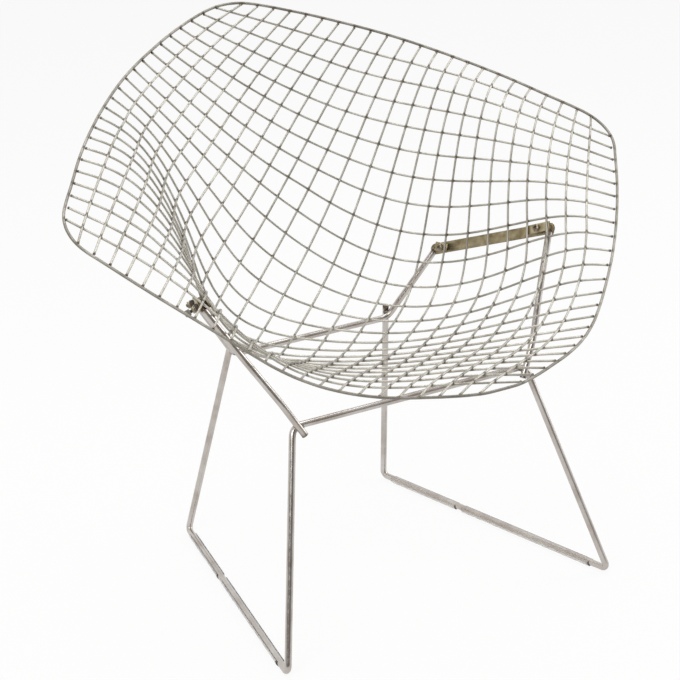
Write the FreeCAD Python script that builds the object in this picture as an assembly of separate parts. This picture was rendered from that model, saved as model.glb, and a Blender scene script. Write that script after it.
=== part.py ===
import FreeCAD, Part
import math
import os
from FreeCAD import Placement, Rotation, Vector

# A lounge chair of welded wire: a diamond-shaped basket of crossing wires on a base of bent rods.
# Millimetres. +Z is up, the sitter faces -Y, and +X is on the right of someone who looks at its front.
# The origin is on the floor, under the middle of the chair. The two sides are mirror images.

# Round stock
mesh_wire_dia = 4.2
rim_rod_dia = 5.5
frame_rod_dia = 9.5
weld_sink = 0.2          # how deep two welded rods melt into each other

# Basket sheet: the surface that the wires follow. A place on it has two counts, in wire spacings
# from the back rim: one for each family of wires. Both are 0 at the top corner of the back.
wires_each_way = 23
count_stations = (0, 4, 7, 10, 13, 17, 21, 24.4)
# Each row starts on the centre line and runs out along one wire line of the right wing.
right_half_net = (
    ((0, 347, 768), (93, 325, 746), (157, 292, 726), (217, 253, 705),
     (273, 205, 681), (337, 137, 649), (396, 59, 613), (435, -2, 584)),
    ((0, 309, 681), (64, 282, 640), (131, 237, 605), (196, 175, 584),
     (257, 78, 578), (321, -11, 566), (387, -82, 539)),
    ((0, 261, 582), (71, 223, 529), (153, 169, 483), (227, 54, 485),
     (282, -57, 513), (346, -136, 504)),
    ((0, 202, 450), (94, 151, 379), (194, 30, 380), (249, -102, 447), (299, -188, 466)),
    ((0, 74, 339), (106, -41, 351), (190, -150, 400), (251, -230, 428)),
    ((0, -138, 363), (96, -218, 383), (176, -287, 398)),
    ((0, -279, 390), (84, -328, 387)),
    ((0, -355, 383),),
)
wire_chord_error = 1.15  # how far a straight run of a wire may stray from its curve
rim_chord_error = 0.8
bend_step = 25           # degrees that a bent rod turns from one section to the next

# Sides of the polygons that stand for round sections, each as large as the circle
wire_sides = 6
rim_sides = 8
rod_sides = 12

# Floor frame: one rod, bent into two sled loops that the front crossbar joins
runner_front = Vector(262, -224, 0)
runner_rear = Vector(174, 228, 0)
crossbar_front = Vector(188, -132, 305)
leg_rear_top = Vector(131, 138, 326)
floor_bend_radius = 14
crossbar_bend_radius = 20

# Cradle: the rear crossbar turns up into two arms, and two front arms stand on the front crossbar
crossbar_rear = Vector(130, 134, 310)
cradle_bend_radius = 22
front_arm_waist = Vector(238, -100, 399)
front_arm_knee = Vector(202, -135, 340)
front_arm_foot = Vector(180, -144, 291)
arm_bend_radius = 60

# Side bars: a flat strip on each side. Its round ends sit in the slotted tops of the arms.
bar_rear = Vector(200, 106, 411)
bar_front = Vector(279, -69, 473)
bar_lean = 20            # degrees that its outer face looks down
bar_height = 16
bar_thickness = 4
bar_end_hole_dia = 5
arm_hole_margin = 1      # from the hole in a bar's end to the arm that points at it

# Shock mounts: a bolt through a basket tab, a rubber bush, the side bar and an outer bush
rear_mount_inset = 15    # from the hole in the rear end of the bar
front_mount_inset = 12   # from the one in its front end
bolt_dia = 5
bolt_clearance = 0.4     # on the diameter of each hole that a bolt passes through
bolt_head_flats = 10
bolt_head_height = 3.5
bolt_spare_thread = 2
bush_dia = 12
outer_bush_length = 5
washer_dia = 12
washer_thickness = 1
nut_flats = 9
nut_height = 4
end_cap_gap = 3          # bare thread between a nut and the rubber cap on the bolt's end
end_cap_dia = 9
end_cap_length = 8
end_cap_wall = 2
tab_thickness = 2.5
tab_height = 13
tab_end_margin = 3       # how far a tab reaches past the wire that it is welded to

# Clear glides that clip under the runners
glide_clearance = 0.15   # room for the runner in its channel
glide_wall = 1
glide_sole = 1.2
glide_sole_width = 6
glide_wrap = 240         # degrees of the runner that a glide holds
glide_side_angle = 40    # degrees from straight down at which the sole begins
glide_spans = ((0.05, 0.36), (0.39, 0.95))  # shares of the runner, from its rear end

rim_rod_radius = rim_rod_dia / 2
frame_rod_radius = frame_rod_dia / 2
up = Vector(0, 0, 1)


def mirrored(vector):
    return Vector(-vector.x, vector.y, vector.z)


def mirror_of(shape):
    return shape.mirror(Vector(0, 0, 0), Vector(1, 0, 0))


def unit(vector):
    return Vector(vector).normalize()


def curve_through(points, counts):
    curve = Part.BSplineCurve()
    curve.interpolate(Points=points, Parameters=counts)
    return curve


# Basket sheet

def net_point(row, column):
    side, back, height = right_half_net[min(row, column)][abs(row - column)]
    return Vector(side if row > column else -side, back, height)


station_numbers = range(len(count_stations))
station_curves = [
    curve_through([net_point(row, column) for row in station_numbers], count_stations)
    for column in station_numbers
]
wire_numbers = range(1, wires_each_way + 1)
wire_lines = {}
for number in wire_numbers:
    line_points = [curve.value(number) for curve in station_curves]
    wire_lines[number] = curve_through(line_points, count_stations)


def across_line(number, count):
    """The direction in which the other family of wires crosses line number."""
    if count in wire_lines:
        return mirrored(wire_lines[count].tangent(number)[0])
    next_line = wire_lines[min(number + 1, wires_each_way)]
    previous_line = wire_lines[max(number - 1, 1)]
    return next_line.value(count) - previous_line.value(count)


def sitter_side(number, count):
    """The sheet's normal on line number, on the side where the sitter is."""
    along = wire_lines[number].tangent(count)[0]
    return unit(along.cross(across_line(number, count)))


# Wires of the basket

def polygon_section(centre, along, flat_side, dia, sides):
    """A regular polygon with the area of a circle, and with one flat towards flat_side."""
    step = 2 * math.pi / sides
    corner_radius = dia / 2 * math.sqrt(step / math.sin(step))
    first = unit(flat_side - along * flat_side.dot(along))
    second = along.cross(first)
    corners = []
    for corner in range(sides):
        angle = (corner + 0.5) * step
        direction = first * math.cos(angle) + second * math.sin(angle)
        corners.append(centre + direction * corner_radius)
    return Part.makePolygon(corners + corners[:1])


def straying(points):
    """How far the points between the first and the last lie from the chord."""
    chord = unit(points[-1] - points[0])
    return max((chord.cross(point - points[0]).Length for point in points[1:-1]), default=0)


def needed_sections(centres):
    """The crossings at which a wire needs a section, with both of its ends."""
    kept = [0]
    while kept[-1] < len(centres) - 1:
        reach = kept[-1] + 1
        while reach + 1 < len(centres):
            if straying(centres[kept[-1]:reach + 2]) > wire_chord_error:
                break
            reach += 1
        kept.append(reach)
    return kept


half_step = math.pi / wire_sides
wire_flat_depth = mesh_wire_dia / 2 * math.sqrt(half_step / math.tan(half_step))
layer_offset = wire_flat_depth - weld_sink / 2


def mesh_wire(number, layer):
    """A wire on line number, in the sitter's layer (1) or in the layer behind it (-1)."""
    line = wire_lines[number]
    end_cut = rim_rod_radius - weld_sink
    first = end_cut / line.getD1(0)[1].Length
    last = count_stations[-1] - end_cut / line.getD1(count_stations[-1])[1].Length
    counts = [first, *wire_numbers, last]
    normals = [sitter_side(number, count) for count in counts]
    centres = [line.value(count) for count in counts]
    for place in range(1, len(counts) - 1):
        centres[place] = centres[place] + normals[place] * layer * layer_offset
    sections = []
    for place in needed_sections(centres):
        along = line.tangent(counts[place])[0]
        section = polygon_section(centres[place], along, normals[place], mesh_wire_dia, wire_sides)
        sections.append(section)
    return Part.makeLoft(sections, True, True)


def rim_rod():
    """The closed rod round the basket, through the ends of every second wire."""
    last_count = count_stations[-1]
    back_right = [wire_lines[number].value(0) for number in wire_numbers[::2]]
    front_left = [wire_lines[number].value(last_count) for number in wire_numbers[::2]]
    front_right = [mirrored(point) for point in front_left]
    back_left = [mirrored(point) for point in back_right]
    points = back_left[:1] + back_right + front_right + front_left[::-1] + back_left[:0:-1]
    centre_line = Part.BSplineCurve()
    centre_line.interpolate(Points=points, PeriodicFlag=True)
    places = centre_line.toShape().discretize(QuasiDeflection=rim_chord_error)
    right_places = [place for place in places if place.x > rim_rod_dia]
    sections = []
    for place in both_sides(right_places):
        along = centre_line.tangent(centre_line.parameter(place))[0]
        sections.append(polygon_section(place, along, up, rim_rod_dia, rim_sides))
    skin = Part.makeLoft(sections + sections[:1], False, True)
    return Part.Solid(Part.Shell(skin.Faces))


# Bent rods of the base

def rounded_path(points, bend_radii):
    """Straight runs between the points, joined by tangent arcs."""
    edges = []
    start = points[0]
    for before, corner, after, bend_radius in zip(points, points[1:], points[2:], bend_radii):
        backward = unit(before - corner)
        forward = unit(after - corner)
        half_turn = (math.pi - backward.getAngle(forward)) / 2
        bend_start = corner + backward * bend_radius * math.tan(half_turn)
        bend_end = corner + forward * bend_radius * math.tan(half_turn)
        bend_depth = bend_radius / math.cos(half_turn) - bend_radius
        bend_middle = corner + unit(backward + forward) * bend_depth
        edges.append(Part.LineSegment(start, bend_start).toShape())
        edges.append(Part.Arc(bend_start, bend_middle, bend_end).toShape())
        start = bend_end
    edges.append(Part.LineSegment(start, points[-1]).toShape())
    return Part.Wire(edges)


def bent_rod(path, dia):
    """A rod along straight runs and arcs, with untwisted sections."""
    stops = []
    for edge in path.OrderedEdges:
        start, end = edge.ParameterRange
        turn = edge.tangentAt(start).getAngle(edge.tangentAt(end))
        steps = max(1, math.ceil(math.degrees(turn) / bend_step))
        for step in range(steps + 1):
            place = start + (end - start) * step / steps
            stops.append((edge.valueAt(place), edge.tangentAt(place)))
    flat_side = up.cross(stops[0][1])
    sections = []
    for centre, along in stops:
        if sections and centre.distanceToPoint(last_centre) < weld_sink:
            continue
        flat_side = unit(flat_side - along * flat_side.dot(along))
        sections.append(polygon_section(centre, along, flat_side, dia, rod_sides))
        last_centre = centre
    return Part.makeLoft(sections, True, True)


def both_sides(points):
    return points + [mirrored(point) for point in points[::-1]]


rod_crossing = frame_rod_dia - weld_sink
runner_height = Vector(0, 0, glide_sole + frame_rod_radius)
runner_rear_axis = runner_rear + runner_height
runner_front_axis = runner_front + runner_height


def sled_path(leg_top):
    half = [leg_top, runner_rear_axis, runner_front_axis, crossbar_front]
    radii = [floor_bend_radius, floor_bend_radius, crossbar_bend_radius]
    return rounded_path(both_sides(half), radii + radii[::-1])


# Frame of the right side bar: X runs forward along it, Y looks out and Z up
bar_length = (bar_front - bar_rear).Length
bar_along = unit(bar_front - bar_rear)
level_out = unit(up.cross(bar_along))
bar_out = Rotation(bar_along, bar_lean).multVec(level_out)
if bar_out.z > 0:
    bar_out = Rotation(bar_along, -bar_lean).multVec(level_out)
bar_up = bar_along.cross(bar_out)
bar_frame = Placement(bar_rear, Rotation(bar_along, bar_out, bar_up, "XYZ"))


def on_bar(along, out, height):
    return bar_frame.multVec(Vector(along, out, height))


def arm_top(bar_end, next_point):
    """Where an arm ends that points at the hole in a bar's end."""
    return bar_end + unit(next_point - bar_end) * (bar_end_hole_dia / 2 + arm_hole_margin)


def cradle_path():
    half = [arm_top(bar_rear, crossbar_rear), crossbar_rear]
    return rounded_path(both_sides(half), [cradle_bend_radius] * 2)


def front_arm_path(shift):
    points = [
        arm_top(bar_front, front_arm_waist),
        front_arm_waist,
        front_arm_knee + shift,
        front_arm_foot + shift,
    ]
    return rounded_path(points, [arm_bend_radius] * 2)


def seated(make_path, start, direction, neighbour):
    """Moves start along direction until the rod that it makes is welded to its neighbour."""
    for _ in range(4):
        gap = make_path(start).distToShape(neighbour)[0] - rod_crossing
        start = start - direction * gap
    return make_path(start)


# Shock mounts, in the frame of the right side bar

def wires_near(along):
    """The mesh wires nearest a bolt, nearest first, each with the point where it passes."""
    bolt_axis = Part.makeLine(on_bar(along, -2 * bar_height, 0), on_bar(along, 0, 0))
    passes = []
    for number, line in wire_lines.items():
        gap, pairs = line.toShape().distToShape(bolt_axis)[:2]
        passes.append((gap, number, pairs[0][0]))
    return sorted(passes)


class ShockMount:
    """One bolted joint between basket and bar. Its own frame has Y out along the bolt."""

    def __init__(self, layer, along, tab_wires, capped):
        self.capped = capped
        to_bar = bar_frame.inverse()
        (_, number, near), (_, _, far) = wires_near(along)[:2]
        line = wire_lines[number]
        wire_run = to_bar.Rotation.multVec(line.tangent(line.parameter(near))[0])
        near = to_bar.multVec(near)
        far = to_bar.multVec(far)
        level = unit(far - near)
        out = unit(wire_run.cross(level))
        if out.y < 0:
            out = -out
        self.frame = Placement(Vector(along, 0, 0), Rotation(level, out, level.cross(out), "XYZ"))
        near = self.frame.inverse().multVec(near)
        far = self.frame.inverse().multVec(far)
        # The tab lies on the far side of the wires, which one layer brings nearer to the bar
        self.tab_inside = near.y + (1 - layer) * layer_offset
        self.tab_outside = self.tab_inside + tab_thickness
        self.tab_ends = (near.x, far.x if tab_wires == 2 else bolt_head_flats / 2)
        self.tab_middle = near.z
        # The bar's faces are a little oblique to the bolt
        self.bar_face = bar_thickness / 2 / out.y
        self.stack = self.bar_face + outer_bush_length

    def cylinder(self, dia, start, end):
        bolt_way = Vector(0, 1, 0)
        section = polygon_section(bolt_way * start, bolt_way, up, dia, rod_sides)
        return Part.Face(section).extrude(bolt_way * (end - start))

    def hexagon(self, flats, start, end):
        corners = [Rotation(Vector(0, 1, 0), 60 * side).multVec(Vector(flats / math.sqrt(3), start, 0))
                   for side in range(7)]
        return Part.Face(Part.makePolygon(corners)).extrude(Vector(0, end - start, 0))

    def bored(self, shape):
        return shape.cut(self.bolt_hole())

    def bolt_hole(self):
        return self.cylinder(bolt_dia + bolt_clearance, -2 * bar_height, 2 * bar_height)

    def tab(self):
        start, end = self.tab_ends
        length = end - start + 2 * tab_end_margin
        corner = Vector(start - tab_end_margin, self.tab_inside, self.tab_middle - tab_height / 2)
        return self.bored(Part.makeBox(length, tab_thickness, tab_height, corner))

    def washer(self):
        return self.bored(self.cylinder(washer_dia, self.stack, self.stack + washer_thickness))

    def nut(self):
        start = self.stack + washer_thickness
        return self.hexagon(nut_flats, start, start + nut_height).cut(
            self.cylinder(bolt_dia, start, start + nut_height))

    def bolt_end(self):
        end = self.stack + washer_thickness + nut_height
        if self.capped:
            return end + end_cap_gap + end_cap_length - end_cap_wall
        return end + bolt_spare_thread

    def bolt(self):
        head = self.hexagon(bolt_head_flats, self.tab_inside - bolt_head_height, self.tab_inside)
        return head.fuse(self.cylinder(bolt_dia, self.tab_inside, self.bolt_end())).removeSplitter()

    def end_cap(self):
        if not self.capped:
            return Part.Compound([])
        start = self.bolt_end() + end_cap_wall - end_cap_length
        cap = self.cylinder(end_cap_dia, start, start + end_cap_length)
        return cap.cut(self.cylinder(bolt_dia, start, self.bolt_end()))

    def bushes(self):
        """Rubber on both sides of the bar, cut to the slope of its faces."""
        bar = moved(bar_blank(), self.frame.inverse())
        return self.bored(self.cylinder(bush_dia, self.tab_outside, self.stack)).cut(bar)


def moved(shape, frame):
    shape = shape.copy()
    shape.Placement = frame.multiply(shape.Placement)
    return shape


def bar_blank():
    """The strip with its half-round ends, before it is drilled."""
    corners = []
    for end, first_angle in ((0, 90), (bar_length, 270)):
        for step in range(rod_sides // 2 + 1):
            angle = math.radians(first_angle) + step * 2 * math.pi / rod_sides
            around = Vector(math.cos(angle), 0, math.sin(angle)) * (bar_height / 2)
            corners.append(Vector(end, -bar_thickness / 2, 0) + around)
    outline = Part.makePolygon(corners + corners[:1])
    return Part.Face(outline).extrude(Vector(0, bar_thickness, 0))


def shock_mounts(layer):
    """The mounts of a side whose tabs are welded to the wires of that layer."""
    rear = ShockMount(layer, rear_mount_inset, 1, False)
    front = ShockMount(layer, bar_length - front_mount_inset, 2, True)
    return [rear, front]


right_mounts = shock_mounts(1)
left_mounts = shock_mounts(-1)


def side_bar():
    bar = bar_blank()
    for mount in right_mounts:
        bar = bar.cut(moved(mount.bolt_hole(), mount.frame))
    across = Vector(0, 1, 0)
    for end in (0, bar_length):
        start = Vector(end, -bar_thickness / 2, 0)
        section = polygon_section(start, across, up, bar_end_hole_dia, rod_sides)
        bar = bar.cut(Part.Face(section).extrude(across * bar_thickness))
    return moved(bar, bar_frame)


def mount_solids(mounts, piece):
    placed = []
    for mount in mounts:
        placed += moved(piece(mount), bar_frame.multiply(mount.frame)).Solids
    return placed


# Glides

def glide(start_share, end_share):
    """A clear channel that wraps the right runner, with a flat sole."""
    inner = frame_rod_radius + glide_clearance
    outer = inner + glide_wall
    half_wrap = glide_wrap / 2

    def arc_points(radius, start, end):
        steps = math.ceil(abs(end - start) / bend_step)
        angles = [math.radians(start + (end - start) * step / steps) for step in range(steps + 1)]
        return [Vector(0, radius * math.sin(angle), -radius * math.cos(angle)) for angle in angles]

    sole_depth = -frame_rod_radius - glide_sole
    outline = arc_points(inner, -half_wrap, half_wrap)
    outline += arc_points(outer, half_wrap, glide_side_angle)
    outline.append(Vector(0, glide_sole_width / 2, sole_depth))
    outline.append(Vector(0, -glide_sole_width / 2, sole_depth))
    outline += arc_points(outer, -glide_side_angle, -half_wrap)
    runner = runner_front_axis - runner_rear_axis
    profile = Part.Face(Part.makePolygon(outline + outline[:1]))
    channel = profile.extrude(Vector((end_share - start_share) * runner.Length, 0, 0))
    along = unit(runner)
    start = runner_rear_axis + runner * start_share
    channel.Placement = Placement(start, Rotation(along, up.cross(along), up, "XYZ"))
    return channel


def save(name, shape):
    shape.exportStep(f"parts/{name}.step")


def save_sides(name, right_solids, left_solids):
    """Both sides in one file, the left one given as its mirror image."""
    save(name, Part.makeCompound(right_solids + [mirror_of(solid) for solid in left_solids]))


os.makedirs("parts", exist_ok=True)

for number in wire_numbers:
    save(f"inner_wire_{number:02}", mesh_wire(number, 1))
    save(f"outer_wire_{number:02}", mirror_of(mesh_wire(number, -1)))
save("rim_rod", rim_rod())

cradle = cradle_path()
sled = seated(sled_path, leg_rear_top, Vector(0, 1, 0), cradle)
front_arm = bent_rod(seated(front_arm_path, Vector(0, 0, 0), Vector(0, -1, 0), sled), frame_rod_dia)
# The bars' round ends are the slots in the tops of the arms
right_slot = moved(bar_blank(), bar_frame)
front_arm = front_arm.cut(right_slot)
rear_cradle = bent_rod(cradle, frame_rod_dia).cut([right_slot, mirror_of(right_slot)])
save("rear_cradle_rod", rear_cradle)
save("sled_frame", bent_rod(sled, frame_rod_dia))
save("front_arm_right", front_arm)
save("front_arm_left", mirror_of(front_arm))

right_bar = side_bar()
save("side_bar_right", right_bar)
save("side_bar_left", mirror_of(right_bar))

mount_pieces = {
    "basket_tabs": ShockMount.tab,
    "mount_bolts": ShockMount.bolt,
    "mount_washers": ShockMount.washer,
    "mount_nuts": ShockMount.nut,
    "bolt_end_caps": ShockMount.end_cap,
    "rubber_bushes": ShockMount.bushes,
}
for name, piece in mount_pieces.items():
    save_sides(name, mount_solids(right_mounts, piece), mount_solids(left_mounts, piece))

runner_glides = [glide(start, end) for start, end in glide_spans]
save_sides("runner_glides", runner_glides, runner_glides)
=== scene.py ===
import math

import bmesh
import bpy
from mathutils import Matrix, Quaternion, Vector
from mathutils.geometry import intersect_line_line
from mathutils.kdtree import KDTree


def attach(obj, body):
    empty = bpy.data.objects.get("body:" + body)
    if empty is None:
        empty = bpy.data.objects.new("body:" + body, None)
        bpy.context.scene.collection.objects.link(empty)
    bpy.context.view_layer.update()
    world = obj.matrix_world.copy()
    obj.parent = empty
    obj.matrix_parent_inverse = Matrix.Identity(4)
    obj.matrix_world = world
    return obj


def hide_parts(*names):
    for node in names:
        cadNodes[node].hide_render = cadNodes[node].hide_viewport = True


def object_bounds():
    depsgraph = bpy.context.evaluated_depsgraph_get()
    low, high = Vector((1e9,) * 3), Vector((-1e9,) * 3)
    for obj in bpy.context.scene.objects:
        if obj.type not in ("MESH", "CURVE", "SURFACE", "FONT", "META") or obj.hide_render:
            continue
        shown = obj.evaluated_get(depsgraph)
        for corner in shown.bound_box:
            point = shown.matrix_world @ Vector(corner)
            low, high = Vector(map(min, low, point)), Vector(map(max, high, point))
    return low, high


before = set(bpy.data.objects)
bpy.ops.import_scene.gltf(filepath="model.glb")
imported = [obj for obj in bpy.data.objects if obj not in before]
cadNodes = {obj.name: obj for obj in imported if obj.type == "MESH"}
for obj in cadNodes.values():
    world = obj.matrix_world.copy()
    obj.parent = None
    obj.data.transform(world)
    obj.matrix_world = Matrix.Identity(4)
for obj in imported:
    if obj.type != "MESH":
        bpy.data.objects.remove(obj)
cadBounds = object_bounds()
scene = bpy.context.scene
print("frame loaded:", len(cadNodes), "nodes")


# Materials. Every one reads Object coordinates, in metres.
noiseLook = {
    "span": (0.3, 0.7),    # where a noise's low and high ends sit
    "detail": 3,
    "cloudDetail": 4,
    "fineDetail": 5,
    "pitDetail": 2,
}
# the Mix node's colour sockets, by number because others bear the same names
mixSockets = {"first": 6, "second": 7, "result": 2}


def newMaterial(name, **settings):
    material = bpy.data.materials.new(name)
    material.use_nodes = True
    shader = material.node_tree.nodes["Principled BSDF"]
    for socket, value in settings.items():
        shader.inputs[socket.replace("_", " ")].default_value = value
    return material, shader


def addNode(material, kind, **settings):
    node = material.node_tree.nodes.new(kind)
    for name, value in settings.items():
        setattr(node, name, value)
    return node


def addNoise(material, size, detail=noiseLook["detail"]):
    # size is that of one blotch, in metres
    place = addNode(material, "ShaderNodeTexCoord")
    noise = addNode(material, "ShaderNodeTexNoise")
    noise.inputs["Scale"].default_value = 1 / size
    noise.inputs["Detail"].default_value = detail
    material.node_tree.links.new(place.outputs["Object"], noise.inputs["Vector"])
    return noise.outputs["Fac"]


def addRamp(material, source, stops):
    # stops are (place, colour) pairs
    ramp = addNode(material, "ShaderNodeValToRGB")
    elements = ramp.color_ramp.elements
    while len(elements) < len(stops):
        elements.new(0.5)
    for element, (place, colour) in zip(elements, stops):
        element.position = place
        element.color = (*colour, 1)
    material.node_tree.links.new(source, ramp.inputs["Fac"])
    return ramp.outputs["Color"]


def addSpan(material, noise, low, high):
    # low and high are colours, or numbers for greys
    ends = [end if isinstance(end, tuple) else (end,) * 3 for end in (low, high)]
    return addRamp(material, noise, list(zip(noiseLook["span"], ends)))


def addMix(material, share, first, second):
    mix = addNode(material, "ShaderNodeMix", data_type="RGBA")
    links = material.node_tree.links
    links.new(share, mix.inputs["Factor"])
    for name, colour in (("first", first), ("second", second)):
        socket = mix.inputs[mixSockets[name]]
        if isinstance(colour, tuple):
            socket.default_value = (*colour, 1)
        else:
            links.new(colour, socket)
    return mix.outputs[mixSockets["result"]]


def addBump(material, shader, height, depth):
    bump = addNode(material, "ShaderNodeBump")
    bump.inputs["Strength"].default_value = 1
    bump.inputs["Distance"].default_value = depth
    links = material.node_tree.links
    links.new(height, bump.inputs["Height"])
    links.new(bump.outputs["Normal"], shader.inputs["Normal"])


def platedMetal(name, tones, streaks, gloss, shadeTarnishColour=None):
    # old plate: clouded tones, rubbed patches and fine pits, darker where the mask attribute says
    # so, which is painted shade with tarnish at welds and on narrow edges
    material, shader = newMaterial(name, Metallic=1.0)
    links = material.node_tree.links
    clouds = addNoise(material, streaks["cloudSize"], noiseLook["cloudDetail"])
    colour = addRamp(material, clouds, tones)
    # painted shade and tarnish: the mask mixes the colour towards this dark tone
    if shadeTarnishColour:
        tint = addNode(material, "ShaderNodeAttribute", attribute_name="shadeTarnishMask")
        colour = addMix(material, tint.outputs["Fac"], colour, shadeTarnishColour)
    links.new(colour, shader.inputs["Base Color"])
    rubbed = addNoise(material, streaks["rubSize"], noiseLook["fineDetail"])
    links.new(addSpan(material, rubbed, *gloss), shader.inputs["Roughness"])
    pits = addNoise(material, streaks["pitSize"], noiseLook["pitDetail"])
    addBump(material, shader, pits, streaks["pitDepth"])
    return material


wireFinish = {
    "tones": (
        (0.32, (0.36, 0.34, 0.295)),
        (0.55, (0.47, 0.45, 0.40)),
        (0.75, (0.56, 0.545, 0.50)),
    ),
    "streaks": {"cloudSize": 0.035, "rubSize": 0.009, "pitSize": 0.0012, "pitDepth": 0.00004},
    "gloss": (0.46, 0.62),
    # dark tone at the welds: painted shade where the wires cross and meet the rim, with weld dirt
    "shadeTarnishColour": (0.13, 0.11, 0.085),
}
rimFinish = {
    **wireFinish,
    "tones": (
        (0.32, (0.23, 0.215, 0.185)),
        (0.55, (0.32, 0.30, 0.265)),
        (0.75, (0.41, 0.395, 0.355)),
    ),
    "gloss": (0.5, 0.65),
}
rodFinish = {
    "tones": (
        (0.30, (0.42, 0.375, 0.34)),
        (0.50, (0.51, 0.47, 0.435)),
        (0.72, (0.58, 0.55, 0.52)),
    ),
    "streaks": {"cloudSize": 0.03, "rubSize": 0.006, "pitSize": 0.002, "pitDepth": 0.00001},
    "gloss": (0.16, 0.28),
    # dark tone at the joints: painted shade where the rods meet, with weld dirt
    "shadeTarnishColour": (0.10, 0.075, 0.055),
}
barFinish = {
    "tones": (
        (0.30, (0.25, 0.20, 0.11)),
        (0.52, (0.41, 0.345, 0.215)),
        (0.72, (0.50, 0.43, 0.29)),
    ),
    "streaks": {"cloudSize": 0.012, "rubSize": 0.004, "pitSize": 0.001, "pitDepth": 0.00008},
    "gloss": (0.38, 0.6),
    # dark tone on the narrow edges of bars and tabs: painted shade with tarnish
    "shadeTarnishColour": (0.10, 0.066, 0.03),
}
boltFinish = {
    "tones": ((0.35, (0.20, 0.165, 0.115)), (0.65, (0.36, 0.32, 0.25))),
    "streaks": {"cloudSize": 0.006, "rubSize": 0.003, "pitSize": 0.0008, "pitDepth": 0.00004},
    "gloss": (0.25, 0.45),
}
weldFinish = {
    # dark tones: weld scale with painted shade at the crossings and joints
    "tones": ((0.12, 0.10, 0.08), (0.24, 0.215, 0.18)),
    "clouds": (0.004, noiseLook["detail"]),
    "pits": (0.001, 0.0001),
    "Metallic": 0.85,
    "Roughness": 0.5,
}
bushFinish = {
    "tones": ((0.035, 0.028, 0.02), (0.09, 0.078, 0.06)),
    "clouds": (0.005, noiseLook["fineDetail"]),
    "pits": (0.0008, 0.00008),
    "Roughness": 0.72,
}
capFinish = {**bushFinish, "tones": ((0.16, 0.155, 0.13), (0.27, 0.265, 0.235))}
clearFinish = {
    "tones": ((0.93, 0.90, 0.86), (0.98, 0.97, 0.95)),
    "hazeSize": 0.012,
    "gloss": (0.05, 0.2),
    "IOR": 1.49,
    "Transmission_Weight": 1.0,
}


def mattMaterial(name, tones, clouds, pits, **settings):
    # clouds are (size, detail), pits are (size, depth)
    material, shader = newMaterial(name, **settings)
    colour = addSpan(material, addNoise(material, *clouds), *tones)
    material.node_tree.links.new(colour, shader.inputs["Base Color"])
    pitSize, pitDepth = pits
    addBump(material, shader, addNoise(material, pitSize), pitDepth)
    return material


def clearMaterial(name, tones, hazeSize, gloss, **settings):
    material, shader = newMaterial(name, **settings)
    haze = addNoise(material, hazeSize, noiseLook["cloudDetail"])
    links = material.node_tree.links
    links.new(addSpan(material, haze, *tones), shader.inputs["Base Color"])
    links.new(addSpan(material, haze, *gloss), shader.inputs["Roughness"])
    return material


wirePlate = platedMetal("wirePlate", **wireFinish)
rimPlate = platedMetal("rimPlate", **rimFinish)
rodPlate = platedMetal("rodPlate", **rodFinish)
barPlate = platedMetal("barPlate", **barFinish)
boltSteel = platedMetal("boltSteel", **boltFinish)
weldMetal = mattMaterial("weldMetal", **weldFinish)
bushRubber = mattMaterial("bushRubber", **bushFinish)
capRubber = mattMaterial("capRubber", **capFinish)
clearPlastic = clearMaterial("clearPlastic", **clearFinish)
print("materials made")


# Shared ways to make a piece
shaping = {
    "joinDistance": 0.00001,   # points closer than this are one point
    "curveSteps": 24,          # points between two knots of a smooth curve
    "edgeSegments": 2,
    "edgeProfile": 0.5,        # round
    "tintFade": 1.5,           # the power by which the painted shade and tarnish at a weld fall off
}


def finishPiece(name, mesh, material, replaced=()):
    piece = bpy.data.objects.new(name, mesh)
    scene.collection.objects.link(piece)
    mesh.materials.clear()
    mesh.materials.append(material)
    for polygon in mesh.polygons:
        polygon.use_smooth = True
    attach(piece, "root")
    if replaced:
        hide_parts(*replaced)


def newMesh(name, bm):
    mesh = bpy.data.meshes.new(name)
    bm.to_mesh(mesh)
    bm.free()
    return mesh


def moveInto(bm, mesh):
    bm.from_mesh(mesh)
    bpy.data.meshes.remove(mesh)


def joinPoints(bm):
    bmesh.ops.remove_doubles(bm, verts=bm.verts, dist=shaping["joinDistance"])


def faceOutward(bm):
    bmesh.ops.recalc_face_normals(bm, faces=bm.faces)


def sharpEdges(bm, angle):
    return [edge for edge in bm.edges if len(edge.link_faces) == 2
            and math.degrees(edge.calc_face_angle()) > angle]


def easeEdges(bm, edges, width):
    bmesh.ops.bevel(bm, geom=edges, offset=width, offset_type="OFFSET", affect="EDGES",
                    segments=shaping["edgeSegments"], profile=shaping["edgeProfile"],
                    clamp_overlap=True, material=-1)


def cutLongEdges(bm, length, cuts):
    longEdges = [edge for edge in bm.edges if edge.calc_length() > length]
    bmesh.ops.subdivide_edges(bm, edges=longEdges, cuts=cuts, use_grid_fill=True)


def setTint(mesh, values):
    mesh.attributes.new("shadeTarnishMask", "FLOAT", "POINT").data.foreach_set("value", values)


def mergedCopy(node):
    # the frame's meshes are loose triangles
    bm = bmesh.new()
    bm.from_mesh(cadNodes[node].data)
    joinPoints(bm)
    return bm


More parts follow.
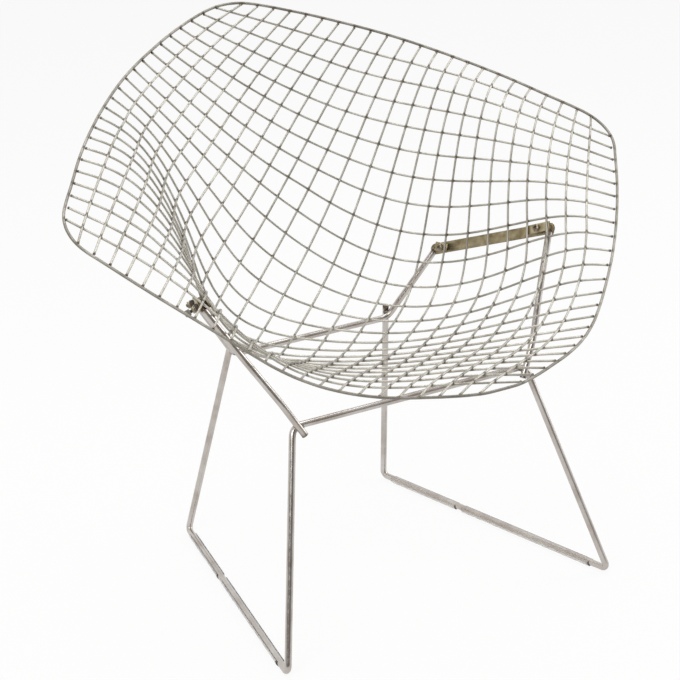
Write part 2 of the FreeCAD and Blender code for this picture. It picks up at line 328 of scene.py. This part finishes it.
def curveMesh(points, kind, cyclic, radius=0, roundness=0):
    data = bpy.data.curves.new("line", "CURVE")
    data.dimensions = "3D"
    data.resolution_u = shaping["curveSteps"]
    data.bevel_depth = radius
    data.bevel_resolution = roundness
    data.use_fill_caps = True
    spline = data.splines.new(kind)
    if kind == "BEZIER":
        spline.bezier_points.add(len(points) - 1)
        for knot, point in zip(spline.bezier_points, points):
            knot.co = point
            knot.handle_left_type = "AUTO"
            knot.handle_right_type = "AUTO"
    else:
        spline.points.add(len(points) - 1)
        for knot, point in zip(spline.points, points):
            knot.co = (*point, 1)
    spline.use_cyclic_u = cyclic
    holder = bpy.data.objects.new("line", data)
    scene.collection.objects.link(holder)
    bpy.context.view_layer.update()
    shown = holder.evaluated_get(bpy.context.evaluated_depsgraph_get())
    mesh = bpy.data.meshes.new_from_object(shown)
    bpy.data.objects.remove(holder)
    return mesh


def smoothLine(centres, gap, cyclic=False):
    # a smooth curve through the centres, read back as points about gap apart
    fine = [vertex.co.copy() for vertex in curveMesh(centres, "BEZIER", cyclic).vertices]
    points = [fine[0]]
    for point in fine[1:]:
        if (point - points[-1]).length >= gap:
            points.append(point)
    if not cyclic:
        points[-1] = fine[-1]
    return points


def rodCentres(node, reach):
    # a CAD wire is a row of polygons: gather the corners of each one for its middle
    bm = mergedCopy(node)
    corners = [vert.co.copy() for vert in bm.verts]
    bm.free()
    centres = []
    while corners:
        first = corners[0]
        ring = [corner for corner in corners if (corner - first).length < reach]
        corners = [corner for corner in corners if (corner - first).length >= reach]
        centres.append(sum(ring, Vector()) / len(ring))
    return centres


# Mesh wires: round rods through the CAD wires' centres, as thin as they look in the photograph
meshWires = {
    "count": 23,
    "radius": 0.0016,
    "roundness": 3,
    "gap": 0.0034,         # from one point of a wire to the next
    "ringReach": 0.0056,   # the corners of one polygon lie nearer than this
    "crossReach": 0.0068,  # the nearest points of two crossing wires lie nearer than this
    "weldSink": 0.0003,    # how deep two crossing wires melt into each other
    "tintReach": 0.0036,   # how far the painted shade and tarnish at a weld run along a wire
}


def wireLine(node, leftward):
    centres = rodCentres(node, meshWires["ringReach"])
    centres.sort(key=lambda centre: centre.y + leftward * centre.x, reverse=True)
    return smoothLine(centres, meshWires["gap"])


wireNumbers = range(1, meshWires["count"] + 1)
innerLines = {number: wireLine(f"inner_wire_{number:02}", 1) for number in wireNumbers}
outerLines = {number: wireLine(f"outer_wire_{number:02}", -1) for number in wireNumbers}
print("wire lines read")


def nearestPlaces():
    # for each pair of wires that cross, the places on both that lie closest
    owners = [(number, place) for number, line in outerLines.items() for place in range(len(line))]
    tree = KDTree(len(owners))
    for index, (number, place) in enumerate(owners):
        tree.insert(outerLines[number][place], index)
    tree.balance()
    nearest = {}
    for inner, line in innerLines.items():
        for place, point in enumerate(line):
            for _, index, distance in tree.find_range(point, meshWires["crossReach"]):
                outer, outerPlace = owners[index]
                if (inner, outer) not in nearest or distance < nearest[inner, outer][0]:
                    nearest[inner, outer] = (distance, place, outerPlace)
    return nearest


def findCrossings():
    found = []
    for (inner, outer), (_, innerPlace, outerPlace) in nearestPlaces().items():
        runs = []
        for line, place in ((innerLines[inner], innerPlace), (outerLines[outer], outerPlace)):
            middle = min(max(place, 1), len(line) - 2)
            runs.append((line[middle - 1], line[middle + 1]))
        onInner, onOuter = intersect_line_line(*runs[0], *runs[1])
        if (onInner - innerLines[inner][innerPlace]).length < meshWires["crossReach"]:
            found.append({
                "inner": (inner, innerPlace, onInner, (runs[0][1] - runs[0][0]).normalized()),
                "outer": (outer, outerPlace, onOuter, (runs[1][1] - runs[1][0]).normalized()),
            })
    return found


crossings = findCrossings()
print("crossings found:", len(crossings))


def drawnTogether(lines, family, other):
    # the drawn wires are thinner than the CAD's, so each moves in until the crossing ones touch
    reach = 2 * meshWires["radius"] - meshWires["weldSink"]
    moves = {number: [] for number in lines}
    for crossing in crossings:
        number, place, here, _ = crossing[family]
        there = crossing[other][2]
        apart = there - here
        moves[number].append((place, apart / 2 * (1 - reach / apart.length)))
    drawn = {}
    for number, line in lines.items():
        stops = sorted(moves[number], key=lambda stop: stop[0])
        stops = [(-1, stops[0][1]), *stops, (len(line), stops[-1][1])]
        points = []
        for (start, first), (end, last) in zip(stops, stops[1:]):
            for place in range(max(start, 0), min(end, len(line))):
                points.append(line[place] + first.lerp(last, (place - start) / (end - start)))
        drawn[number] = points
    return drawn


innerLines, outerLines = (
    drawnTogether(innerLines, "inner", "outer"),
    drawnTogether(outerLines, "outer", "inner"),
)
allLines = [*innerLines.values(), *outerLines.values()]


def tintNear(mesh, spots, radius, reach):
    # a point attribute that is 1 at a weld and fades along the rod: painted shade where parts meet,
    # with weld dirt
    tree = KDTree(len(spots))
    for index, spot in enumerate(spots):
        tree.insert(spot, index)
    tree.balance()
    values = []
    for vertex in mesh.vertices:
        distance = tree.find(vertex.co)[2]
        along = math.sqrt(max(distance ** 2 - radius ** 2, 0))
        values.append(max(0.0, 1 - along / reach) ** shaping["tintFade"])
    setTint(mesh, values)


def makeWires(family, lines):
    for number, line in lines.items():
        mesh = curveMesh(line, "POLY", False, meshWires["radius"], meshWires["roundness"])
        spots = [crossing[family][2] for crossing in crossings if crossing[family][0] == number]
        # darker at each crossing and end: painted shade where the wires meet, with weld dirt
        tintNear(mesh, spots + [line[0], line[-1]], meshWires["radius"], meshWires["tintReach"])
        node = f"{family}_wire_{number:02}"
        finishPiece(f"{family}Wire{number:02}", mesh, wirePlate, [node])


makeWires("inner", innerLines)
makeWires("outer", outerLines)
print("mesh wires made")

# Rim
rim = {
    "radius": 0.0020,
    "roundness": 4,
    "gap": 0.003,
    "ringReach": 0.0066,
    "tintStart": 1.6,      # in radii: how far from a wire's end the painted shade and tarnish are whole
    "tintReach": 0.0045,
    "margin": 0.0002,      # how far inside the front of the CAD's box the rim stays
}


def makeRim():
    centres = rodCentres("rim_rod", rim["ringReach"])
    centres.sort(key=lambda centre: math.atan2(centre.y, centre.x))
    line = smoothLine(centres, rim["gap"], cyclic=True)
    # at the front the smooth curve would stand out of the CAD's box
    foremost = cadBounds[0][1] + rim["radius"] + rim["margin"]
    for point in line:
        point.y = max(point.y, foremost)
    mesh = curveMesh(line, "POLY", True, rim["radius"], rim["roundness"])
    ends = [wire[place] for wire in allLines for place in (0, -1)]
    # darker where the wires' ends meet the rim: painted shade, with weld dirt
    tintNear(mesh, ends, rim["radius"] * rim["tintStart"], rim["tintReach"])
    finishPiece("rimRod", mesh, rimPlate, ["rim_rod"])


makeRim()
print("rim made")

# Weld beads: a flat one between the wires at each crossing, a round one at each wire's end
beads = {
    "crossingRadii": (0.0023, 0.0023, 0.0013),
    "endRadii": (0.0017, 0.0021, 0.0021),
    "endInset": 0.0014,    # from the wire's end along the wire
    "around": 8,
    "along": 5,
}


def beadShape(around, along):
    bm = bmesh.new()
    bmesh.ops.create_uvsphere(bm, u_segments=around, v_segments=along, radius=1)
    return newMesh("bead", bm)


def addBead(bm, shape, place, first, second, radii):
    third = first.cross(second).normalized()
    second = third.cross(first).normalized()
    turn = Matrix((first.normalized(), second, third)).transposed().to_4x4()
    copy = shape.copy()
    copy.transform(Matrix.Translation(place) @ turn @ Matrix.Diagonal((*radii, 1)))
    moveInto(bm, copy)


def makeBeads(name, places, around=beads["around"], along=beads["along"]):
    # places are (middle, first axis, second axis, radii)
    shape = beadShape(around, along)
    bm = bmesh.new()
    for place in places:
        addBead(bm, shape, *place)
    finishPiece(name, newMesh(name, bm), weldMetal)


def crossingPlaces():
    for crossing in crossings:
        _, _, onInner, alongInner = crossing["inner"]
        _, _, onOuter, alongOuter = crossing["outer"]
        middle = (onInner + onOuter) / 2
        yield middle, alongInner + alongOuter, alongInner - alongOuter, beads["crossingRadii"]


def endPlaces():
    for line in allLines:
        for end, inside in ((line[0], line[2]), (line[-1], line[-3])):
            inward = (inside - end).normalized() * beads["endInset"]
            yield end + inward, end - inside, (end - inside).orthogonal(), beads["endRadii"]


makeBeads("crossingBeads", crossingPlaces())
makeBeads("rimBeads", endPlaces())
print("weld beads made")

# Base rods: bent from round stock, with clean cut ends
baseRods = {
    "radius": 0.00475,
    "roundness": 5,
    "bendStep": 9,             # degrees from one ring of a bend to the next
    "endBevel": 0.0006,
    "longRun": 0.03,           # straight runs longer than this get rings, for the painted shade and tarnish at the welds
    "runCuts": 40,
    "tintReach": 0.007,
    "legTop": (0.131, 0.1392, 0.326),
    "runnerRear": (0.174, 0.228, 0.00595),
    "runnerFront": (0.26375, -0.233, 0.00595),
    "frontCorner": (0.188, -0.1362, 0.305),
    "floorBend": 0.0075,
    "frontBend": 0.016,
    "cradleTop": (0.19806, 0.10678, 0.4082),
    "rearCorner": (0.130, 0.134, 0.310),
    "cradleBend": 0.022,
    "armTop": (0.27741, -0.0702, 0.47013),
    "armWaist": (0.2375, -0.1025, 0.4005),
    "armKnee": (0.2025, -0.1345, 0.3403),
    "armFoot": (0.1758, -0.1475, 0.2935),
    "armBend": 0.09,
}


def flipped(point):
    return Vector((-point[0], point[1], point[2]))


def mirroredRoute(points):
    return [*map(Vector, points), *(flipped(point) for point in reversed(points))]


def roundedRoute(points, bends):
    # straight runs, with an arc of the given radius at each corner between them
    route = [points[0]]
    for before, corner, after, bend in zip(points, points[1:], points[2:], bends):
        backward = (before - corner).normalized()
        forward = (after - corner).normalized()
        turn = math.pi - backward.angle(forward)
        runIn = bend * math.tan(turn / 2)
        inward = (backward + forward).normalized()
        centre = corner + inward * (bend / math.cos(turn / 2))
        axis = forward.cross(backward).normalized()
        arm = corner + backward * runIn - centre
        steps = max(2, math.ceil(math.degrees(turn) / baseRods["bendStep"]))
        for step in range(steps + 1):
            route.append(centre + Quaternion(axis, turn * step / steps) @ arm)
    route.append(points[-1])
    return route


def makeRod(name, node, route, welds):
    mesh = curveMesh(route, "POLY", False, baseRods["radius"], baseRods["roundness"])
    bm = bmesh.new()
    bm.from_mesh(mesh)
    # only the cut ends have more than four corners
    ends = [face for face in bm.faces if len(face.verts) > 4]
    easeEdges(bm, list({edge for end in ends for edge in end.edges}), baseRods["endBevel"])
    cutLongEdges(bm, baseRods["longRun"], baseRods["runCuts"])
    bm.to_mesh(mesh)
    bm.free()
    # darker at the joints: painted shade where the rods meet, with weld dirt
    tintNear(mesh, welds, baseRods["radius"], baseRods["tintReach"])
    finishPiece(name, mesh, rodPlate, [node])


def makeBase():
    rods = baseRods
    joints = [rods[name] for name in ("legTop", "armFoot", "armTop", "cradleTop", "rearCorner")]
    welds = [*map(Vector, joints), *map(flipped, joints)]
    bends = [rods["floorBend"], rods["floorBend"], rods["frontBend"]]
    sledCorners = [rods[name] for name in ("legTop", "runnerRear", "runnerFront", "frontCorner")]
    sled = roundedRoute(mirroredRoute(sledCorners), bends + bends[::-1])
    makeRod("sledRod", "sled_frame", sled, welds)
    cradleCorners = mirroredRoute([rods["cradleTop"], rods["rearCorner"]])
    cradle = roundedRoute(cradleCorners, [rods["cradleBend"]] * 2)
    makeRod("cradleRod", "rear_cradle_rod", cradle, welds)
    armCorners = [Vector(rods[name]) for name in ("armTop", "armWaist", "armKnee", "armFoot")]
    arm = roundedRoute(armCorners, [rods["armBend"]] * 2)
    makeRod("frontArmRight", "front_arm_right", arm, welds)
    makeRod("frontArmLeft", "front_arm_left", [flipped(point) for point in arm], welds)


makeBase()
print("base rods made")

# Side bars and basket tabs: the CAD pieces with eased edges
strips = {
    "barEdge": 0.0006,
    "tabEdge": 0.0004,
    "flatAngle": 1,
    "sharpAngle": 35,
    "faceAlign": 0.9,      # cosine to the widest face, above which a face counts as flat
}


def easedPiece(name, node, edge):
    bm = mergedCopy(node)
    bmesh.ops.dissolve_limit(bm, angle_limit=math.radians(strips["flatAngle"]),
                             verts=bm.verts, edges=bm.edges)
    easeEdges(bm, sharpEdges(bm, strips["sharpAngle"]), edge)
    mesh = newMesh(name, bm)
    finishPiece(name, mesh, barPlate, [node])
    mesh.set_sharp_from_angle(angle=math.radians(strips["sharpAngle"]))
    # painted shade with tarnish: the narrow edges are darker than the flat faces, so mark the
    # points that touch no flat face
    widest = max(mesh.polygons, key=lambda polygon: polygon.area).normal.copy()
    flat = set()
    for polygon in mesh.polygons:
        if abs(polygon.normal.dot(widest)) > strips["faceAlign"]:
            flat.update(polygon.vertices)
    setTint(mesh, [0.0 if vertex.index in flat else 1.0 for vertex in mesh.vertices])


easedPiece("sideBarRight", "side_bar_right", strips["barEdge"])
easedPiece("sideBarLeft", "side_bar_left", strips["barEdge"])
easedPiece("basketTabs", "basket_tabs", strips["tabEdge"])
print("side bars and tabs made")

# Shock mounts: bolt, tab, rubber, bar, rubber, washer, nut and, at the front, a rubber cap
mounts = {
    "barRear": (0.200, 0.106, 0.411),
    "barAlong": (0.3915, -0.8673, 0.3073),
    "barOut": (0.8997, 0.2908, -0.3255),
    # side, place along the bar, the bolt's way in the bar's frame, where the tab starts, capped
    "bolts": (
        (1, 0.015, (-0.1869, 0.9791, 0.0799), -0.01418, False),
        (1, 0.18977, (0.0430, 0.9941, -0.0995), -0.01486, True),
        (-1, 0.015, (-0.1869, 0.9791, 0.0799), -0.01038, False),
        (-1, 0.18977, (0.0430, 0.9941, -0.0995), -0.01106, True),
    ),
    "tabThickness": 0.0025,
    "barFace": 0.00204,
    "stackEnd": 0.00704,
    "boltRadius": 0.0025,
    "headRadius": 0.0055,
    "headHeight": 0.0035,
    "headDome": ((0.72, 0.0003), (0.93, 0.0012), (1, 0.0022)),   # share of the radius, height
    "headEase": 0.0002,
    "socketRadius": 0.0027,
    "socketDepth": 0.003,
    "socketEase": 0.0003,
    "threadPitch": 0.0008,
    "threadDepth": 0.00035,
    "tipEase": 0.0004,
    "bushRadius": 0.006,
    "bushEase": 0.0007,
    "bushBelly": 0.0003,
    "washerRadius": 0.006,
    "washerThickness": 0.001,
    "washerEase": 0.00025,
    "nutSides": 6,
    "nutRadius": 0.0052,
    "nutHeight": 0.004,
    "nutEase": 0.0004,
    "capRadius": 0.0045,
    "capGap": 0.003,
    "capLength": 0.008,
    "capWall": 0.002,
    "capEase": (0.0004, 0.0005),
    "capDome": ((1, 0.0018), (0.93, 0.0008), (0.72, 0.0002), (0.4, 0)),   # share, depth
    "capPole": 0.00002,    # what the cap's turned outline leaves open at its axis
    "spareThread": 0.002,
    "easeShare": 0.3,      # how far from the corner the middle of an eased edge stays
    "turnSteps": 40,
    "sharpAngle": 40,
}


def mountFrames():
    along = Vector(mounts["barAlong"]).normalized()
    out = Vector(mounts["barOut"]).normalized()
    lift = along.cross(out).normalized()
    bar = Matrix((along, out, lift)).transposed()
    for side, place, boltWay, tabStart, capped in mounts["bolts"]:
        outward = (bar @ Vector(boltWay)).normalized()
        turn = outward.to_track_quat("Z", "Y").to_matrix().to_4x4()
        spot = Vector(mounts["barRear"]) + along * place
        yield Matrix.Diagonal((side, 1, 1, 1)) @ Matrix.Translation(spot) @ turn, tabStart, capped


def turned(profile):
    # profile points are (distance from the bolt's axis, place along it)
    # a profile that starts off the axis is closed, and makes a ring
    bm = bmesh.new()
    verts = [bm.verts.new((reach, 0, height)) for reach, height in profile]
    for first, second in zip(verts, verts[1:]):
        bm.edges.new((first, second))
    if profile[0][0] > shaping["joinDistance"]:
        bm.edges.new((verts[-1], verts[0]))
    bmesh.ops.spin(bm, geom=bm.verts[:] + bm.edges[:], cent=(0, 0, 0), axis=(0, 0, 1),
                   dvec=(0, 0, 0), angle=2 * math.pi, steps=mounts["turnSteps"],
                   use_merge=True, use_duplicate=False)
    joinPoints(bm)
    return bm


def easedRing(inner, outer, start, end, ease, belly=0):
    # the outline of a ring with eased outer edges and, if wanted, a belly
    middle = (start + end) / 2
    corner = ease * mounts["easeShare"]
    return [
        (inner, start), (outer - ease, start), (outer - corner, start + corner),
        (outer, start + ease), (outer + belly, middle), (outer, end - ease),
        (outer - corner, end - corner), (outer - ease, end), (inner, end),
    ]


def boltShapes(tabStart, capped):
    radius, socket, head = (mounts[name] for name in ("boltRadius", "socketRadius", "headRadius"))
    pitch = mounts["threadPitch"]
    headEnd = tabStart - mounts["headHeight"]
    nutEnd = mounts["stackEnd"] + mounts["washerThickness"] + mounts["nutHeight"]
    inCap = mounts["capGap"] + mounts["capLength"] - mounts["capWall"]
    end = nutEnd + (inCap if capped else mounts["spareThread"])
    headOutline = [
        (0, headEnd + mounts["socketDepth"]), (socket, headEnd + mounts["socketDepth"]),
        (socket, headEnd + mounts["socketEase"]), (socket + mounts["socketEase"], headEnd),
        *((head * share, headEnd + height) for share, height in mounts["headDome"]),
        (head, tabStart - mounts["headEase"]), (head - mounts["headEase"], tabStart),
        (radius, tabStart),
    ]
    thread = []
    height = mounts["stackEnd"]
    while height < end - pitch:
        thread.append((radius, height))
        thread.append((radius - mounts["threadDepth"], height + pitch / 2))
        height += pitch
    tip = [(radius, height), (radius - mounts["tipEase"], end), (0, end)]
    return [turned(headOutline + thread + tip)]


def nutShapes(tabStart, capped):
    start = mounts["stackEnd"] + mounts["washerThickness"]
    end = start + mounts["nutHeight"]
    bm = bmesh.new()
    bmesh.ops.create_cone(bm, cap_ends=True, segments=mounts["nutSides"], depth=end - start,
                          radius1=mounts["nutRadius"], radius2=mounts["nutRadius"],
                          matrix=Matrix.Translation((0, 0, (start + end) / 2)))
    easeEdges(bm, bm.edges[:], mounts["nutEase"])
    return [bm]


def washerShapes(tabStart, capped):
    start = mounts["stackEnd"]
    return [turned(easedRing(mounts["boltRadius"], mounts["washerRadius"], start,
                             start + mounts["washerThickness"], mounts["washerEase"]))]


def bushShapes(tabStart, capped):
    inner = (tabStart + mounts["tabThickness"], -mounts["barFace"])
    outer = (mounts["barFace"], mounts["stackEnd"])
    side = mounts["bushRadius"] - mounts["bushBelly"]
    return [turned(easedRing(mounts["boltRadius"], side, start, end,
                             mounts["bushEase"], mounts["bushBelly"]))
            for start, end in (inner, outer)]


def capShapes(tabStart, capped):
    if not capped:
        return []
    bore, radius, pole = (mounts[name] for name in ("boltRadius", "capRadius", "capPole"))
    start = (mounts["stackEnd"] + mounts["washerThickness"] + mounts["nutHeight"]
             + mounts["capGap"])
    end = start + mounts["capLength"]
    easeAcross, easeAlong = mounts["capEase"]
    return [turned([
        (bore, end - mounts["capWall"]), (bore, start),
        (radius - easeAcross, start), (radius, start + easeAlong),
        *((radius * share, end - depth) for share, depth in mounts["capDome"]),
        (pole, end), (pole, end - mounts["capWall"]),
    ])]


def makeMountPiece(name, node, shapesOf, material):
    whole = bmesh.new()
    for place, tabStart, capped in mountFrames():
        for bm in shapesOf(tabStart, capped):
            bmesh.ops.transform(bm, matrix=place, verts=bm.verts)
            faceOutward(bm)
            moveInto(whole, newMesh("part", bm))
    mesh = newMesh(name, whole)
    finishPiece(name, mesh, material, [node])
    mesh.set_sharp_from_angle(angle=math.radians(mounts["sharpAngle"]))


makeMountPiece("mountBolts", "mount_bolts", boltShapes, boltSteel)
makeMountPiece("mountWashers", "mount_washers", washerShapes, boltSteel)
makeMountPiece("mountNuts", "mount_nuts", nutShapes, boltSteel)
makeMountPiece("rubberBushes", "rubber_bushes", bushShapes, bushRubber)
makeMountPiece("boltEndCaps", "bolt_end_caps", capShapes, capRubber)
print("shock mounts made")

# Clear glides: two open channels clipped under each runner
glides = {
    "runnerStart": baseRods["runnerRear"],
    "runnerEnd": (0.262, -0.224, 0.00595),
    "spans": ((0.05, 0.36), (0.39, 0.95)),   # shares of the runner
    "inner": 0.0049,
    "wall": 0.001,
    "sole": 0.00592,           # from the rod's axis down to the flat sole
    "soleWidth": 0.006,
    "halfWrap": 120,           # degrees from straight down
    "soleAngle": 40,
    "arcStep": 10,
    "edge": 0.0003,
    "longRun": 0.05,           # longer edges are cut, for smooth shading
    "cuts": 60,
    "easedAngle": 60,          # edges sharper than this are eased
    "sharpAngle": 35,
}


def glideOutline():
    inner = glides["inner"]
    outer = inner + glides["wall"]

    def arc(radius, start, end):
        steps = round(abs(end - start) / glides["arcStep"])
        angles = [math.radians(start + (end - start) * step / steps) for step in range(steps + 1)]
        return [(radius * math.sin(angle), -radius * math.cos(angle)) for angle in angles]

    half = glides["halfWrap"]
    foot = [(glides["soleWidth"] / 2, -glides["sole"]), (-glides["soleWidth"] / 2, -glides["sole"])]
    return (arc(inner, -half, half) + arc(outer, half, glides["soleAngle"]) + foot
            + arc(outer, -glides["soleAngle"], -half))


def makeGlides():
    start = Vector(glides["runnerStart"])
    run = Vector(glides["runnerEnd"]) - start
    aside = Vector((0, 0, 1)).cross(run).normalized()
    outline = glideOutline()
    bm = bmesh.new()
    for first, last in glides["spans"]:
        place = start + run * first
        corners = [bm.verts.new(place + aside * across + Vector((0, 0, height)))
                   for across, height in outline]
        made = bmesh.ops.extrude_face_region(bm, geom=[bm.faces.new(corners)])["geom"]
        moved = [item for item in made if isinstance(item, bmesh.types.BMVert)]
        bmesh.ops.translate(bm, vec=run * (last - first), verts=moved)
    faceOutward(bm)
    easeEdges(bm, sharpEdges(bm, glides["easedAngle"]), glides["edge"])
    cutLongEdges(bm, glides["longRun"], glides["cuts"])
    other = bm.copy()
    bmesh.ops.scale(other, vec=(-1, 1, 1), verts=other.verts)
    faceOutward(other)
    moveInto(bm, newMesh("left", other))
    mesh = newMesh("runnerGlides", bm)
    finishPiece("runnerGlides", mesh, clearPlastic, ["runner_glides"])
    mesh.set_sharp_from_angle(angle=math.radians(glides["sharpAngle"]))


makeGlides()
print("glides made")

# Frame welds: fillets where the rods meet each other and the bars
frameWelds = {
    # middle on the right side, the line that the fillet follows, radii in metres
    "fillets": (
        ((0.1306, 0.1366, 0.3175), (1, 0, 0), (0.0052, 0.0032, 0.0052)),
        ((0.1795, -0.1412, 0.3040), (1, 0, 0), (0.0062, 0.0030, 0.0044)),
        ((0.2781, -0.0697, 0.4713), (0.39, -0.87, 0.31), (0.0045, 0.0033, 0.0034)),
        ((0.1990, 0.1064, 0.4096), (0.39, -0.87, 0.31), (0.0045, 0.0033, 0.0034)),
    ),
    "across": (0, 1, 0.01),    # any way that no fillet follows
    "around": 20,
    "along": 12,
}


def makeFrameWelds():
    places = []
    for middle, along, radii in frameWelds["fillets"]:
        for spot, way in ((Vector(middle), Vector(along)), (flipped(middle), flipped(along))):
            places.append((spot, way, way.cross(Vector(frameWelds["across"])), radii))
    makeBeads("frameWelds", places, frameWelds["around"], frameWelds["along"])


makeFrameWelds()
print("frame welds made")


# Studio
studio = {
    "floorSize": 40,
    "floorColour": (0.9, 0.895, 0.885),
    "floorRoughness": 0.9,
    "floorWhite": 0.9,         # share of plain white that the camera sees in the floor
    "skyColour": (1.0, 0.99, 0.97),
    "skyLight": 0.38,
    "roomLight": 0.24,         # how bright the room looks in the metal
    "roomSide": (-0.45, -0.85, 0.05),   # the way to the dim side of the room
    "roomEdge": (0.0, 0.7),             # where that side begins and is whole, as a cosine
    "lamps": (
        # name, place, aim, width, height, power
        ("keySoftbox", (-2.6, -1.9, 2.7), (0, 0, 0.4), 2.4, 2.4, 66),
        ("fillSoftbox", (3.0, -0.6, 1.7), (0, 0, 0.4), 1.2, 2.8, 32),
        ("topSoftbox", (0.2, 0.6, 3.2), (0, 0, 0.4), 2.4, 1.6, 36),
    ),
}


def mathNode(nodes, links, operation, first, second):
    # second is an output or a number
    node = nodes.new("ShaderNodeMath")
    node.operation = operation
    links.new(first, node.inputs[0])
    if isinstance(second, float):
        node.inputs[1].default_value = second
    else:
        links.new(second, node.inputs[1])
    return node.outputs[0]


def backdropShare(nodes, links, mirrorShare=None):
    # 1 for rays that should see the white backdrop: camera, mirror and through clear plastic
    path = nodes.new("ShaderNodeLightPath")
    mirror = path.outputs["Is Glossy Ray"]
    if mirrorShare:
        mirror = mathNode(nodes, links, "MULTIPLY", mirror, mirrorShare)
    share = mathNode(nodes, links, "MAXIMUM", path.outputs["Is Camera Ray"], mirror)
    return mathNode(nodes, links, "MAXIMUM", share, path.outputs["Is Transmission Ray"])


def showMix(nodes, links, share, first, second, output):
    mix = nodes.new("ShaderNodeMixShader")
    for source, socket in zip((share, first, second), mix.inputs):
        links.new(source, socket)
    links.new(mix.outputs["Shader"], nodes[output].inputs["Surface"])


def backdropSide(nodes, links):
    # metal sees the white backdrop all round, but for the dim side that the object faces
    way = nodes.new("ShaderNodeTexCoord")
    room = nodes.new("ShaderNodeVectorMath")
    room.operation = "DOT_PRODUCT"
    room.inputs[1].default_value = Vector(studio["roomSide"]).normalized()
    edge = nodes.new("ShaderNodeMapRange")
    edge.interpolation_type = "SMOOTHSTEP"
    begin, whole = studio["roomEdge"]
    for name, value in (("From Min", begin), ("From Max", whole), ("To Min", 1), ("To Max", 0)):
        edge.inputs[name].default_value = value
    links.new(way.outputs["Generated"], room.inputs[0])
    links.new(room.outputs["Value"], edge.inputs["Value"])
    return edge.outputs["Result"]


def makeFloor():
    bm = bmesh.new()
    bmesh.ops.create_grid(bm, x_segments=1, y_segments=1, size=studio["floorSize"] / 2)
    mesh = newMesh("floor", bm)
    floor = bpy.data.objects.new("floor", mesh)
    scene.collection.objects.link(floor)
    material, shader = newMaterial("floorPaper", Base_Color=(*studio["floorColour"], 1),
                                   Roughness=studio["floorRoughness"])
    nodes, links = material.node_tree.nodes, material.node_tree.links
    white = nodes.new("ShaderNodeEmission").outputs["Emission"]
    share = mathNode(nodes, links, "MULTIPLY", backdropShare(nodes, links), studio["floorWhite"])
    showMix(nodes, links, share, shader.outputs["BSDF"], white, "Material Output")
    mesh.materials.append(material)


def makeWorld():
    world = bpy.data.worlds.new("studioSky")
    scene.world = world
    world.use_nodes = True
    nodes, links = world.node_tree.nodes, world.node_tree.links
    light = nodes["Background"]
    light.inputs["Color"].default_value = (*studio["skyColour"], 1)
    level = nodes.new("ShaderNodeMapRange")
    level.inputs["To Min"].default_value = studio["skyLight"]
    level.inputs["To Max"].default_value = studio["roomLight"]
    links.new(nodes.new("ShaderNodeLightPath").outputs["Is Glossy Ray"], level.inputs["Value"])
    links.new(level.outputs["Result"], light.inputs["Strength"])
    white = nodes.new("ShaderNodeBackground")
    white.inputs["Color"].default_value = (1, 1, 1, 1)
    share = backdropShare(nodes, links, backdropSide(nodes, links))
    showMix(nodes, links, share, light.outputs["Background"], white.outputs["Background"],
            "World Output")


def makeLamps():
    for name, place, aim, width, height, power in studio["lamps"]:
        data = bpy.data.lights.new(name, "AREA")
        data.shape = "RECTANGLE"
        data.size = width
        data.size_y = height
        data.energy = power
        lamp = bpy.data.objects.new(name, data)
        lamp.location = place
        lamp.rotation_mode = "QUATERNION"
        lamp.rotation_quaternion = (Vector(aim) - Vector(place)).to_track_quat("-Z", "Y")
        scene.collection.objects.link(lamp)


# Camera: the photograph's place and lens, for a square frame
photoCamera = {
    "place": (-1.3856, -2.3106, 1.3626),
    "azimuth": 30.37,
    "down": 20.7,
    "roll": -1.88,
    "lens": 108.5,
    "sensor": 36,
}


def makeCamera():
    azimuth = math.radians(photoCamera["azimuth"])
    down = math.radians(photoCamera["down"])
    level = math.cos(down)
    ahead = Vector((math.sin(azimuth) * level, math.cos(azimuth) * level, -math.sin(down)))
    data = bpy.data.cameras.new("photoCamera")
    data.sensor_width = photoCamera["sensor"]
    data.lens = photoCamera["lens"]
    camera = bpy.data.objects.new("photoCamera", data)
    camera.location = photoCamera["place"]
    camera.rotation_mode = "QUATERNION"
    roll = Quaternion((0, 0, 1), math.radians(photoCamera["roll"]))
    camera.rotation_quaternion = ahead.to_track_quat("-Z", "Y") @ roll
    scene.collection.objects.link(camera)
    scene.camera = camera


makeFloor()
makeWorld()
makeLamps()
makeCamera()
scene.view_settings.view_transform = "Standard"
print("studio and camera made")
